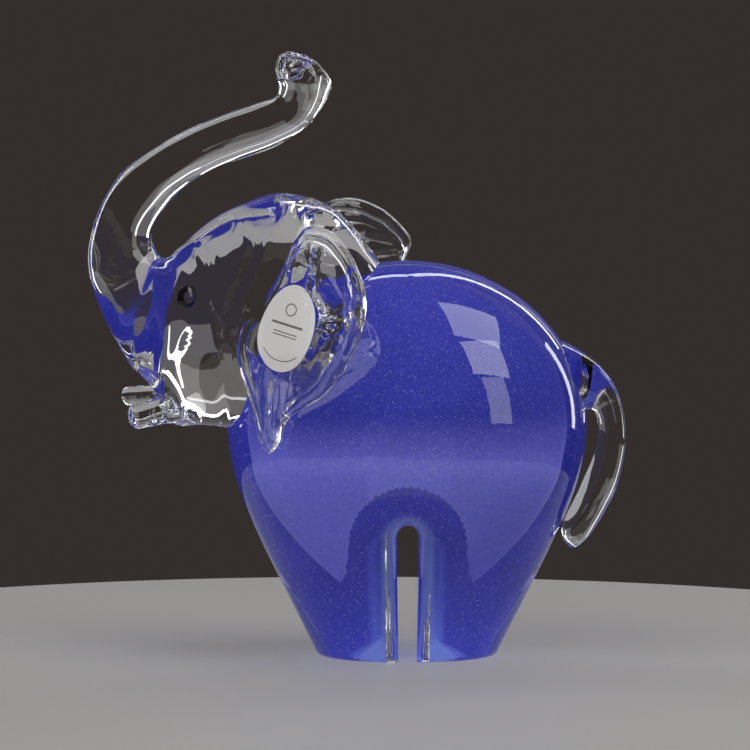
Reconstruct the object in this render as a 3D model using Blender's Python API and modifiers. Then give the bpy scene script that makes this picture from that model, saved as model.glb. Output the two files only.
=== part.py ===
"""A solid crystal glass figurine: an elephant that stands with its trunk thrown back over its head.

It is built the way a hot-glass worker builds it. A cobalt core is cased in clear crystal and pressed into
a body, and a blade presses the slot that parts the front legs from the hind legs. The head with its trunk,
the ears, tusks, eyes and tail are separate gathers or bits of clear glass, each laid on its neighbour.

Metres, +Z up. The elephant faces -X, so its left side is at -Y. The feet stand on Z = 0, and the origin is
under the middle of the figurine's bounding box.
"""

import math

import bmesh
import bpy
from mathutils import Matrix, Vector

MM = 0.001

# ---------------------------------------------------------------- driving dimensions, in millimetres
FRAME_SHIFT = (0.025, 0.0)  # from the drawing's own X and Y to the middle of the bounding box
GAP = 0.3  # between two pieces that lie on each other
SQUASH = 0.80  # the body's width over its length

BODY_X = 13.0  # the body's upright axis
BALL_HEIGHT = 60.0  # where the body is widest
BALL_RADIUS = 47.2
DOME_HEIGHT = 43.6  # from there to the top of the back
FOOT_RADIUS = 24.2
FOOT_EDGE = 1.5  # rounding round the foot

CORE_RADIUS = 43.0
CORE_DOME = 39.4
CORE_BELLY_ANGLE = 25.0  # how far below its widest ring the core's ball stays round
CORE_WAIST = (28.0, 32.0)  # radius and height where the core's belly meets its legs
CORE_FOOT_RADIUS = 15.4

SLOT_X = 13.0
SLOT_HALF_WIDTH = 2.9
SLOT_FOOT_HALF_WIDTH = 2.4
SLOT_TOP = 35.0
SLOT_WALL = 2.6  # clear glass between the slot and the core
FLARE_START = 15.0  # the slot is straight this far each side of the middle, and then opens
FLARE_REACH = 16.0
FLARE_WIDTH = 3.2

LABEL_LENGTH = 22.4
LABEL_WIDTH = 14.0
LABEL_THICKNESS = 0.3

# ---------------------------------------------------------------- smooth lines through a few points


def smooth_through(points, steps):
    """Points on a Catmull-Rom curve through the given ones, with that many steps in each span."""
    ends = [2 * points[0] - points[1], *points, 2 * points[-1] - points[-2]]
    found = []
    for i in range(1, len(ends) - 2):
        a, b, c, d = ends[i - 1 : i + 3]
        for k in range(steps):
            t = k / steps
            bend = (2 * a - 5 * b + 4 * c - d) * t * t
            twist = (3 * b - a - 3 * c + d) * t**3
            found.append(0.5 * (2 * b + (c - a) * t + bend + twist))
    return found + [points[-1]]


def closed_through(points, steps):
    """The same for a closed outline."""
    around = [points[-1], *points, points[0], points[1]]
    inner = smooth_through([Vector(p) for p in around], steps)
    return inner[steps : steps * (len(points) + 1)]


def bezier(a, b, c, d, steps):
    """Points of a cubic curve, without its first one."""
    found = []
    for k in range(1, steps + 1):
        t = k / steps
        s = 1 - t
        found.append(s**3 * a + 3 * s * s * t * b + 3 * s * t * t * c + t**3 * d)
    return found


# ---------------------------------------------------------------- scene, collections and materials


def clear_scene():
    for thing in list(bpy.data.objects):
        bpy.data.objects.remove(thing, do_unlink=True)


def new_collection(name):
    made = bpy.data.collections.new(name)
    bpy.context.scene.collection.children.link(made)
    return made


def material(name, colour, roughness, transmission=0.0):
    made = bpy.data.materials.new(name)
    made.use_nodes = True
    shader = made.node_tree.nodes["Principled BSDF"]
    shader.inputs["Base Color"].default_value = (*colour, 1.0)
    shader.inputs["Roughness"].default_value = roughness
    shader.inputs["Metallic"].default_value = 0.0
    shader.inputs["Transmission Weight"].default_value = transmission
    return made


clear_scene()
ELEPHANT = new_collection("crystal_elephant")
CUTTERS = new_collection("cutters")
MIDDLE = bpy.data.objects.new("middle", None)
MIDDLE.location = (FRAME_SHIFT[0] * MM, FRAME_SHIFT[1] * MM, 0)
ELEPHANT.objects.link(MIDDLE)

CRYSTAL = material("clear_crystal", (0.93, 0.94, 0.97), 0.02, 0.95)
COBALT = material("cobalt_glass", (0.04, 0.045, 0.42), 0.25)
EYE_GLASS = material("dark_glass", (0.02, 0.015, 0.03), 0.08)
PAPER = material("label_paper", (0.88, 0.88, 0.88), 0.6)


def add_piece(name, mesh, finish, place=None):
    mesh.materials.clear()
    mesh.materials.append(finish)
    mesh.shade_smooth()
    mesh.set_sharp_from_angle(angle=math.radians(40))
    made = bpy.data.objects.new(name, mesh)
    made.parent = MIDDLE
    made.matrix_local = place or Matrix()
    ELEPHANT.objects.link(made)
    return made


def add_cutter(name, mesh, place=None):
    made = bpy.data.objects.new(name, mesh)
    made.parent = MIDDLE
    made.matrix_local = place or Matrix()
    made.hide_render = True
    made.display_type = "WIRE"
    CUTTERS.objects.link(made)
    return made


def cut(piece, cutter):
    boolean = piece.modifiers.new("cut_" + cutter.name, "BOOLEAN")
    boolean.operation = "DIFFERENCE"
    boolean.solver = "EXACT"
    boolean.object = cutter
    return piece


# ---------------------------------------------------------------- shapes


def loft(name, rings):
    """A closed solid through rings of points, in millimetres, each with the same count."""
    bm = bmesh.new()
    loops = [[bm.verts.new(p * MM) for p in ring] for ring in rings]
    for low, high in zip(loops, loops[1:]):
        count = len(low)
        for i in range(count):
            j = (i + 1) % count
            bm.faces.new((low[i], low[j], high[j], high[i]))
    bm.faces.new(list(reversed(loops[0])))
    bm.faces.new(loops[-1])
    bmesh.ops.recalc_face_normals(bm, faces=bm.faces)
    mesh = bpy.data.meshes.new(name)
    bm.to_mesh(mesh)
    bm.free()
    return mesh


def ribbed_form(name, ribs, sides, steps):
    """A loft over ribs. A rib is an oval across the XZ plane: its two ends there, and its half width in Y."""
    keys = [Vector((*upper, *lower)) for upper, lower, width in ribs]
    widths = [Vector((width, centre)) for _, _, width, centre in with_centres(ribs)]
    rings = []
    for ends, (width, centre) in zip(smooth_through(keys, steps), smooth_through(widths, steps)):
        upper = Vector((ends[0], centre, ends[1]))
        lower = Vector((ends[2], centre, ends[3]))
        middle = (upper + lower) / 2
        half = (upper - lower) / 2
        across = Vector((0, width, 0))
        turns = [2 * math.pi * i / sides for i in range(sides)]
        rings.append([middle + half * math.cos(a) + across * math.sin(a) for a in turns])
    return loft(name, rings)


def with_centres(ribs):
    """Ribs with the Y of their middle, which is 0."""
    return [(*rib, 0.0) for rib in ribs]


def turned_mesh(name, profile, steps, squash=1.0):
    """Profile, as (radius, height) pairs from the top down, turned round an upright axis by Screw."""
    mesh = bpy.data.meshes.new(name)
    points = [(r * MM, 0, z * MM) for r, z in profile]
    mesh.from_pydata(points, [(i, i + 1) for i in range(len(points) - 1)], [])
    rough = bpy.data.objects.new(name + "_profile", mesh)
    bpy.context.scene.collection.objects.link(rough)
    screw = rough.modifiers.new("turn", "SCREW")
    screw.steps = steps
    screw.render_steps = steps
    screw.use_merge_vertices = True
    screw.merge_threshold = 0.00005
    graph = bpy.context.evaluated_depsgraph_get()
    solid = bpy.data.meshes.new_from_object(rough.evaluated_get(graph))
    bpy.data.objects.remove(rough)
    solid.transform(Matrix.Diagonal((1, squash, 1, 1)))
    return solid


def dome(radius, height, middle, steps, low_angle=0.0):
    """A quarter of an ellipse from the pole down to low_angle, as (radius, height) pairs."""
    found = []
    for k in range(steps + 1):
        a = math.pi / 2 + (low_angle - math.pi / 2) * k / steps
        found.append((radius * math.cos(a), middle + height * math.sin(a)))
    found[0] = (0.0, middle + height)
    return found


def placed(middle, tilt=0.0, turn=0.0):
    """A place in the figurine: tilted about Y, then turned about Z, then moved to middle."""
    turned = Matrix.Rotation(math.radians(turn), 4, "Z") @ Matrix.Rotation(math.radians(tilt), 4, "Y")
    return Matrix.Translation(Vector(middle) * MM) @ turned


# ---------------------------------------------------------------- body: casing, core and slot


def casing_profile(grow=0.0):
    """The outside of the body: an elliptic dome, a belly that curves into the legs, and a rounded foot."""
    radius = BALL_RADIUS + grow
    found = dome(radius, DOME_HEIGHT + grow, BALL_HEIGHT, 12)
    belly = bezier(
        Vector((radius, BALL_HEIGHT)),
        Vector((radius, 43.0)),
        Vector((35.0 + grow, 24.5)),
        Vector((FOOT_RADIUS + grow, FOOT_EDGE)),
        10,
    )
    foot = (FOOT_RADIUS + grow - 0.45 * FOOT_EDGE, 0.3 * FOOT_EDGE - grow)
    sole = (FOOT_RADIUS - FOOT_EDGE, -grow)
    return found + [tuple(p) for p in belly] + [foot, sole, (0.0, -grow)]


def core_profile(grow=0.0, sole=0.0):
    """The cobalt gather: a ball that narrows to a waist, with legs that run down to the ground foot."""
    low = -math.radians(CORE_BELLY_ANGLE)
    found = dome(CORE_RADIUS + grow, CORE_DOME + grow, BALL_HEIGHT + 1.0, 14, low)
    waist = (CORE_WAIST[0] + grow, CORE_WAIST[1])
    return found + [waist, (CORE_FOOT_RADIUS + grow, sole), (0.0, sole)]


def arch(half_width, foot_half_width, top, sides):
    """A round-topped outline in XZ, from below the feet up to top, round the slot's axis."""
    spring = top - half_width * 1.15
    turns = [math.pi * k / sides for k in range(sides + 1)]
    found = [(SLOT_X + half_width * math.cos(a), spring + (top - spring) * math.sin(a)) for a in turns]
    return found + [(SLOT_X - foot_half_width, -3.0), (SLOT_X + foot_half_width, -3.0)]


def slot_form(name, wall, stations):
    """The blade's shape: a straight slot in the middle that flares to each side of the body."""
    rings = []
    for k in range(-stations, stations + 1):
        y = 48.0 * k / stations
        open_by = max(0.0, abs(y) - FLARE_START) / FLARE_REACH
        widened = wall + FLARE_WIDTH * min(open_by, 1.35) ** 2
        sides = (SLOT_HALF_WIDTH + widened, SLOT_FOOT_HALF_WIDTH + widened)
        outline = arch(*sides, SLOT_TOP + widened, 12)
        rings.append([Vector((x, y, z)) for x, z in outline])
    return loft(name, rings)


BODY = placed((BODY_X, 0, 0))
CASING_STEPS = 56
CORE_STEPS = 40

grown = turned_mesh("casing_clearance", casing_profile(GAP), CASING_STEPS, SQUASH)
casing_outside = add_cutter("casing_clearance", grown, BODY)
slot = add_cutter("slot", slot_form("slot", 0.0, 14))
core_slot = add_cutter("core_slot", slot_form("core_slot", SLOT_WALL, 14))

cavity = turned_mesh("core_cavity", core_profile(GAP, -2.0), CORE_STEPS, SQUASH)
core_cavity = add_cutter("core_cavity", cavity, BODY)
cut(core_cavity, add_cutter("cavity_slot", slot_form("cavity_slot", SLOT_WALL - GAP, 14)))

casing = turned_mesh("body_casing", casing_profile(), CASING_STEPS, SQUASH)
body_casing = add_piece("body_casing", casing, CRYSTAL, BODY)
cut(body_casing, core_cavity)
cut(body_casing, slot)

core = turned_mesh("blue_core", core_profile(), CORE_STEPS, SQUASH)
blue_core = add_piece("blue_core", core, COBALT, BODY)
cut(blue_core, core_slot)

# ---------------------------------------------------------------- head and trunk: one drawn-out gather

# From the neck to the tip: the upper or inner end, the lower or outer end, and the half width.
HEAD_RIBS = [
    ((10.0, 92.0), (-21.0, 56.0), 22.0),
    ((5.4, 103.8), (-33.6, 59.4), 25.5),
    ((-5.6, 116.6), (-41.0, 60.2), 27.0),
    ((-18.7, 121.2), (-48.6, 60.8), 26.0),
    ((-31.0, 118.4), (-53.6, 68.6), 21.5),
    ((-41.2, 111.9), (-57.8, 73.6), 17.0),
    ((-47.0, 106.1), (-64.3, 83.8), 13.0),
    ((-50.7, 104.4), (-69.2, 95.6), 10.2),
    ((-53.0, 106.6), (-70.6, 103.6), 8.8),
    ((-53.6, 110.4), (-69.4, 111.9), 8.0),
    ((-51.5, 115.2), (-66.4, 119.4), 7.6),
    ((-47.4, 120.4), (-61.6, 126.6), 7.2),
    ((-43.0, 124.0), (-53.6, 132.6), 6.8),
    ((-37.6, 127.3), (-44.8, 137.6), 6.5),
    ((-29.4, 130.2), (-35.2, 141.6), 6.3),
    ((-20.6, 133.6), (-26.4, 144.6), 6.1),
    ((-13.0, 138.6), (-21.4, 146.4), 6.0),
    ((-8.2, 145.2), (-20.8, 149.6), 6.8),
    ((-6.6, 150.0), (-21.6, 153.6), 7.4),
    ((-9.2, 154.4), (-20.6, 156.8), 5.6),
    ((-12.6, 156.8), (-18.2, 158.2), 2.6),
]
MOUTH = (-53.4, 0.0, 71.2)
MOUTH_SIZE = (7.5, 6.0, 3.4)
NOSTRILS = {"left": (-17.2, -5.4, 153.9), "right": (-14.0, 5.4, 154.9)}
NOSTRIL_SIZE = (4.3, 2.4, 3.1)
EYE = (-43.4, 20.6, 94.3)
EYE_SIZE = (2.9, 1.6, 2.9)


def ball_mesh(name, size, rings=10):
    """An ellipsoid round its own middle."""
    bm = bmesh.new()
    bmesh.ops.create_uvsphere(bm, u_segments=2 * rings, v_segments=rings, radius=MM)
    bmesh.ops.scale(bm, verts=bm.verts, vec=size)
    mesh = bpy.data.meshes.new(name)
    bm.to_mesh(mesh)
    bm.free()
    return mesh


head_and_trunk = add_piece("head_and_trunk", ribbed_form("head_and_trunk", HEAD_RIBS, 22, 2), CRYSTAL)
cut(head_and_trunk, casing_outside)
cut(head_and_trunk, add_cutter("mouth", ball_mesh("mouth", MOUTH_SIZE), placed(MOUTH, tilt=-12.0)))

head_clearance = add_cutter("head_clearance", ribbed_form("head_clearance", HEAD_RIBS, 22, 2))
swell = head_clearance.modifiers.new("clearance", "DISPLACE")
swell.strength = GAP * MM
swell.mid_level = 0.0

EYE_TURN = 24.0
for side, hand in (("left", -1), ("right", 1)):
    nostril = ball_mesh(side + "_nostril", NOSTRIL_SIZE, rings=8)
    cut(head_and_trunk, add_cutter(side + "_nostril", nostril, placed(NOSTRILS[side], tilt=28.0)))
    eye_place = placed((EYE[0], hand * EYE[1], EYE[2]), turn=-hand * EYE_TURN)
    socket = ball_mesh(side + "_eye_socket", [s + GAP for s in EYE_SIZE])
    cut(head_and_trunk, add_cutter(side + "_eye_socket", socket, eye_place))
    add_piece(side + "_eye", ball_mesh(side + "_eye", EYE_SIZE), EYE_GLASS, eye_place)

# ---------------------------------------------------------------- tusks: two stubby bits beside the mouth

# Root, tip and radius of each; the left one is the larger.
TUSKS = {
    "left_tusk": ((-45.0, -10.5, 66.2), (-59.0, -14.5, 62.8), 3.3),
    "right_tusk": ((-50.0, 9.0, 68.0), (-62.5, 11.0, 67.4), 2.5),
}


def tusk_mesh(name, length, radius):
    """A round stub that stands on its root, with a domed tip."""
    round_end = [(r, length - radius + z) for r, z in dome(radius, radius, 0.0, 5)]
    return turned_mesh(name, round_end + [(radius * 1.12, 0.35 * length), (radius * 1.3, 0.0), (0.0, 0.0)], 16)


for name, (root, tip, radius) in TUSKS.items():
    along = Vector(tip) - Vector(root)
    laid = Matrix.Translation(Vector(root) * MM) @ along.to_track_quat("Z", "Y").to_matrix().to_4x4()
    cut(add_piece(name, tusk_mesh(name, along.length, radius), CRYSTAL, laid), head_clearance)

# ---------------------------------------------------------------- ears: two pressed and cupped leaves

# Each leaf seen from its open side, as distances back (u) and up (v) from the middle of the ear.
LEFT_LEAF = [
    (1.0, 26.3), (7.5, 24.8), (12.8, 19.5), (17.2, 12.8), (19.2, 7.0), (18.4, 0.4), (15.3, -6.0),
    (10.7, -12.3), (5.4, -17.2), (-0.8, -20.6), (-4.8, -23.6), (-6.8, -28.6), (-9.4, -31.4), (-12.0, -28.2),
    (-13.4, -20.5), (-15.6, -13.5), (-17.4, -6.0), (-16.6, 0.5), (-13.4, 4.6), (-10.6, 9.4), (-7.4, 14.6),
    (-5.0, 19.6), (-2.6, 23.8),
]  # fmt: skip
RIGHT_LEAF = [
    (0.0, 29.0), (7.7, 28.2), (14.6, 24.6), (19.6, 20.2), (23.2, 16.0), (23.8, 13.4), (20.4, 8.0),
    (17.0, 0.0), (14.5, -8.0), (9.0, -14.0), (2.5, -19.5), (-4.5, -24.5), (-9.0, -26.5), (-13.0, -23.0),
    (-17.5, -12.0), (-19.5, 1.0), (-16.0, 11.0), (-11.5, 19.0), (-6.5, 25.8),
]  # fmt: skip
EAR_THICKNESS = 4.2

# Outline, middle of the ear, yaw of its front part, turn in its own plane, side, and how far its back edge
# curls out from the flat front part.
EARS = {
    "left_ear": (LEFT_LEAF, (-13.5, -31.5, 86.0), 24.0, 0.0, -1, 5.5),
    "right_ear": (RIGHT_LEAF, (-3.5, 30.744, 91.0), 24.0, 10.0, 1, 3.4),
}


def ear_frame(middle, yaw, turn, hand):
    """From the leaf's (u, v, w), with w out of its open side, to the figurine's own axes."""
    outward = Matrix.Scale(hand, 4, (0, 1, 0))
    stand = Matrix(((1, 0, 0, 0), (0, 0, 1, 0), (0, 1, 0, 0), (0, 0, 0, 1)))
    swing = Matrix.Rotation(math.radians(yaw), 4, "Z")
    roll = Matrix.Rotation(math.radians(-turn), 4, "Y")
    return Matrix.Translation(Vector(middle)) @ outward @ swing @ roll @ stand


def ear_mesh(name, leaf, middle, yaw, turn, hand, cup):
    """Rings of the leaf, from the middle of its back, round the rim, to the middle of its open side."""
    outline = closed_through(leaf, 2)
    heart = Vector((-1.0, 1.0))
    half = EAR_THICKNESS / 2
    back = [(0.12, -0.62), (0.45, -0.66), (0.75, -0.8), (0.92, -0.72), (0.99, -0.3)]
    frame = ear_frame(middle, yaw, turn, hand)
    rings = []
    for share, rise in back + [(s, -r) for s, r in reversed(back)]:
        ring = []
        for p in outline:
            u, v = heart + (p - heart) * share
            curl = cup * max(0.0, (u - 2.0) / 18.0) ** 2
            ring.append(frame @ Vector((u, v, rise * half + curl)))
        rings.append(ring)
    return loft(name, rings)


ears = {name: add_piece(name, ear_mesh(name, *place), CRYSTAL) for name, place in EARS.items()}
for ear in ears.values():
    cut(ear, head_clearance)
    cut(ear, casing_outside)

# ---------------------------------------------------------------- label: an oval paper sticker on the left ear

LABEL_AT = (-5.0, 0.0)  # its middle on the leaf
LABEL_LEAN = -14.0


def label_mesh(name):
    """An egg-shaped sheet that follows the open side of the left ear, one gap above it."""
    frame = ear_frame(*EARS["left_ear"][1:5])
    front = EAR_THICKNESS / 2 * 0.81 + GAP
    rings = []
    lean = math.radians(LABEL_LEAN)
    for level in (front, front + LABEL_THICKNESS):
        ring = []
        for k in range(32):
            a = 2 * math.pi * k / 32
            u = LABEL_WIDTH / 2 * math.cos(a) * (1 - 0.12 * math.sin(a))
            v = LABEL_LENGTH / 2 * math.sin(a)
            around = Vector((u * math.cos(lean) - v * math.sin(lean), u * math.sin(lean) + v * math.cos(lean)))
            ring.append(frame @ Vector((LABEL_AT[0] + around.x, LABEL_AT[1] + around.y, level)))
        rings.append(ring)
    return loft(name, rings)


add_piece("ear_label", label_mesh("ear_label"), PAPER)

# ---------------------------------------------------------------- tail: a loop laid down the rump

# From the root down: the outer end, the inner end, and the half width.
TAIL_RIBS = [
    ((50.0, 84.0), (50.0, 66.0), 6.0),
    ((56.0, 81.3), (57.5, 65.0), 6.4),
    ((61.2, 78.2), (61.6, 64.2), 6.0),
    ((65.2, 74.2), (62.7, 62.6), 5.6),
    ((68.4, 68.8), (63.0, 60.2), 5.2),
    ((70.4, 60.0), (62.9, 57.2), 5.0),
    ((70.2, 52.4), (62.2, 53.4), 5.0),
    ((68.2, 43.8), (60.2, 48.4), 5.0),
    ((65.0, 37.6), (57.6, 42.4), 5.0),
    ((61.0, 31.4), (54.8, 37.0), 4.8),
    ((57.6, 28.4), (53.6, 33.0), 3.8),
    ((55.6, 28.3), (53.9, 30.4), 1.6),
]
tail = add_piece("tail", ribbed_form("tail", TAIL_RIBS, 16, 2), CRYSTAL)
cut(tail, casing_outside)
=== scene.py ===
"""The looks of a hand-worked crystal elephant: clear glass over a cobalt gather, with a lilac ball of
powder inside it, drawn-out trunk, pressed ears, stub tusks, bead eyes, a looped tail and a paper sticker.
"""

import math

import bmesh
import bpy
import numpy as np
from mathutils import Matrix, Vector, noise


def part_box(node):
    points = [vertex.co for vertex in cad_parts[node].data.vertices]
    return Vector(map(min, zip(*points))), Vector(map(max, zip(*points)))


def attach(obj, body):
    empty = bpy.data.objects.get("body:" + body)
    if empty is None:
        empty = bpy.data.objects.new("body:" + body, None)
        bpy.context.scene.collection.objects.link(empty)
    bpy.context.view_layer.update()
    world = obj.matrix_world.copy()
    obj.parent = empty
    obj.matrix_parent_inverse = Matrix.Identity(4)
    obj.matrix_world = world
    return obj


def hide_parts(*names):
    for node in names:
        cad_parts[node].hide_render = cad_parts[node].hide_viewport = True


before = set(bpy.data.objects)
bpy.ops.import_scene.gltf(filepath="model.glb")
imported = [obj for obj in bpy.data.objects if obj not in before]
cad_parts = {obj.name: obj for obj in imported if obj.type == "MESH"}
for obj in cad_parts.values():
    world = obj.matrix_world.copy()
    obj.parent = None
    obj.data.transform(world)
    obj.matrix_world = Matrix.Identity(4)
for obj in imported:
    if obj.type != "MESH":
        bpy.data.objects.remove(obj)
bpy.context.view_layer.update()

# ---------------------------------------------------------------- the clear casing of the body
# The body is one heavy gather of clear lead crystal. It is marvered to a ball that narrows to the legs, and
# its sole is ground flat. A wet blade pressed up into it parts the front legs from the hind legs.

MM = 0.001
body_low, body_high = (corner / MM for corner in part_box("body_casing"))
body_axis = (body_low.x + body_high.x) / 2
ball_radius = (body_high.x - body_low.x) / 2
squash = (body_high.y - body_low.y) / (body_high.x - body_low.x)
body_top = body_high.z
ball_height = 60.0
foot_radius = 24.2
foot_edge = 1.5


def glass_ball(cuts):
    """A ball of even quads, one unit in radius: a cube that is divided and blown round."""
    bm = bmesh.new()
    bmesh.ops.create_cube(bm, size=2.0)
    bmesh.ops.subdivide_edges(bm, edges=bm.edges[:], cuts=cuts, use_grid_fill=True)
    for v in bm.verts:
        v.co = Vector([math.tan(c * math.pi / 4) for c in v.co]).normalized()
    return bm


def turned(bm, profile):
    """Rolls a unit ball to a profile, which runs from the top down as (radius, height) points."""
    radii, heights = np.array(profile).T
    steps = np.hypot(np.diff(radii), np.diff(heights))
    reached = np.concatenate([[0.0], np.cumsum(steps)])
    for v in bm.verts:
        share = math.acos(max(-1.0, min(1.0, v.co.z))) / math.pi * reached[-1]
        radius = np.interp(share, reached, radii)
        turn = math.atan2(v.co.y, v.co.x)
        v.co = (radius * math.cos(turn), radius * math.sin(turn), np.interp(share, reached, heights))


def dome(radius, rise, middle, low_angle, steps):
    """A quarter of an ellipse, from the pole down to low_angle."""
    turns = np.linspace(math.pi / 2, low_angle, steps)
    return [(radius * math.cos(a), middle + rise * math.sin(a)) for a in turns]


def bezier(a, b, c, d, steps):
    """Points of a cubic curve, without its first one."""
    found = []
    for t in np.linspace(0, 1, steps + 1)[1:]:
        s = 1 - t
        weights = (s**3, 3 * s * s * t, 3 * s * t * t, t**3)
        found.append(tuple(sum(w * p[i] for w, p in zip(weights, (a, b, c, d))) for i in (0, 1)))
    return found


def casing_outline():
    """The outside of the body: an elliptic dome, a belly that curves into the legs, and a rounded foot."""
    top = dome(ball_radius, body_top - ball_height, ball_height, 0.0, 60)
    belly = bezier((ball_radius, ball_height), (ball_radius, 43.0), (35.0, 24.5), (foot_radius, foot_edge), 60)
    edge = bezier(
        (foot_radius, foot_edge), (foot_radius - 0.5, 0.3), (foot_radius - 0.9, 0.0), (foot_radius - 2, 0.0), 8
    )
    return top + belly + edge + [(0.0, 0.0)]


def rippled(bm, amount, grain):
    """Hand-worked glass is never true: its skin wanders in and out a little."""
    bm.normal_update()
    moves = [v.normal * (amount * noise.noise(v.co / grain)) for v in bm.verts]
    for v, move in zip(bm.verts, moves):
        v.co += move


def shaped(name, bm, finish):
    """A new object of a bmesh in millimetres, with one finish all over."""
    bmesh.ops.recalc_face_normals(bm, faces=bm.faces[:])
    bm.transform(Matrix.Scale(MM, 4))
    mesh = bpy.data.meshes.new(name)
    bm.to_mesh(mesh)
    bm.free()
    mesh.materials.append(finish)
    mesh.shade_smooth()
    made = bpy.data.objects.new(name, mesh)
    bpy.context.scene.collection.objects.link(made)
    return made


def new_material(name):
    """A node material with a Principled shader, and its nodes and links."""
    made = bpy.data.materials.new(name)
    made.use_nodes = True
    return made, made.node_tree.nodes, made.node_tree.links


def crystal(name, colour, roughness, ior):
    """Clear glass. It lets lamps and the light off the table through to what is inside it."""
    made, nodes, links = new_material(name)
    glass = nodes["Principled BSDF"]
    glass.inputs["Base Color"].default_value = (*colour, 1.0)
    glass.inputs["Roughness"].default_value = roughness
    glass.inputs["IOR"].default_value = ior
    glass.inputs["Transmission Weight"].default_value = 1.0
    path = nodes.new("ShaderNodeLightPath")
    open_way = nodes.new("ShaderNodeBsdfTransparent")
    open_way.inputs["Color"].default_value = (*colour, 1.0)
    shader = glass.outputs[0]
    for ray in ("Is Shadow Ray", "Is Diffuse Ray"):
        mix = nodes.new("ShaderNodeMixShader")
        links.new(path.outputs[ray], mix.inputs[0])
        links.new(shader, mix.inputs[1])
        links.new(open_way.outputs[0], mix.inputs[2])
        shader = mix.outputs[0]
    links.new(shader, nodes["Material Output"].inputs["Surface"])
    return made


def weld_material():
    """Where two pieces of hot glass have run together nothing bends or stops the light."""
    made, nodes, links = new_material("fused_joint")
    open_way = nodes.new("ShaderNodeBsdfTransparent")
    links.new(open_way.outputs[0], nodes["Material Output"].inputs["Surface"])
    nodes.remove(nodes["Principled BSDF"])
    return made


clear_glass = crystal("clear_crystal", (0.985, 0.99, 1.0), 0.0, 1.53)
weld = weld_material()
marker = new_material("marker")[0]


def worked(piece, tool, operation):
    """The mesh that a Boolean makes of two pieces. Each face keeps the finish it had."""
    step = piece.modifiers.new("step", "BOOLEAN")
    step.operation = operation
    step.solver = "EXACT"
    step.material_mode = "TRANSFER"
    step.object = tool
    graph = bpy.context.evaluated_depsgraph_get()
    mesh = bpy.data.meshes.new_from_object(piece.evaluated_get(graph))
    piece.modifiers.clear()
    return mesh


def carve(piece, tool):
    """Cuts the tool's shape out of the piece, and throws the tool away."""
    name = piece.data.name
    piece.data = worked(piece, tool, "DIFFERENCE")
    piece.data.name = name
    piece.data.set_sharp_from_angle(angle=math.radians(38))
    bpy.data.objects.remove(tool)


def with_finish(piece, finish):
    """A copy of a piece with that finish all over."""
    made = piece.copy()
    made.data = piece.data.copy()
    made.data.materials.clear()
    made.data.materials.append(finish)
    made.data.polygons.foreach_set("material_index", [0] * len(made.data.polygons))
    bpy.context.scene.collection.objects.link(made)
    return made


def slots_of(mesh, finish):
    """The numbers of the slots in which a mesh has a finish."""
    return {i for i, m in enumerate(mesh.materials) if m is finish}


def fuse(piece, host):
    """Lays one piece of hot glass on another. The piece ends where the host begins, and both are open there."""
    stamp = with_finish(piece, marker)
    outside, inside = worked(host, stamp, "DIFFERENCE"), worked(host, stamp, "INTERSECT")
    bpy.data.objects.remove(stamp)
    whole = bmesh.new()
    for mesh, covered in ((outside, False), (inside, True)):
        part = bmesh.new()
        part.from_mesh(mesh)
        strange = slots_of(mesh, marker)
        welded = slots_of(mesh, weld)
        drop = [f for f in part.faces if f.material_index in strange]
        bmesh.ops.delete(part, geom=drop, context="FACES")
        for f in part.faces:
            f.material_index = 1 if covered or f.material_index in welded else 0
        part.to_mesh(mesh)
        part.free()
        whole.from_mesh(mesh)
    bmesh.ops.remove_doubles(whole, verts=whole.verts[:], dist=0.002 * MM)
    host_before = with_finish(host, weld)
    name, first = host.data.name, host.data.materials[0]
    mesh = bpy.data.meshes.new(name)
    whole.to_mesh(mesh)
    whole.free()
    mesh.materials.append(first)
    mesh.materials.append(weld)
    mesh.shade_smooth()
    mesh.set_sharp_from_angle(angle=math.radians(38))
    host.data = mesh
    carve(piece, host_before)


def ring_tube(sides, rows):
    """A tube of rings drawn out of a circle. Each vertex keeps its row, and its turn round the ring."""
    bm = bmesh.new()
    turn = bm.verts.layers.float.new("turn")
    row = bm.verts.layers.float.new("row")
    for v in bmesh.ops.create_circle(bm, segments=sides, radius=1)["verts"]:
        v[turn] = math.atan2(v.co.y, v.co.x) % (2 * math.pi)
    edges = bm.edges[:]
    for k in range(1, rows):
        made = bmesh.ops.extrude_edge_only(bm, edges=edges)["geom"]
        fresh = {g for g in made if isinstance(g, bmesh.types.BMVert)}
        for v in fresh:
            v[row] = k
        edges = [g for g in made if isinstance(g, bmesh.types.BMEdge) and set(g.verts) <= fresh]
    ends = [e for e in bm.edges if e.is_boundary]
    bmesh.ops.holes_fill(bm, edges=ends, sides=0)
    return bm, turn, row


slot_half_width = 2.9
slot_foot_half_width = 2.3
slot_spring = 33.1
slot_rise = 3.4
slot_lip = 3.0


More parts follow.
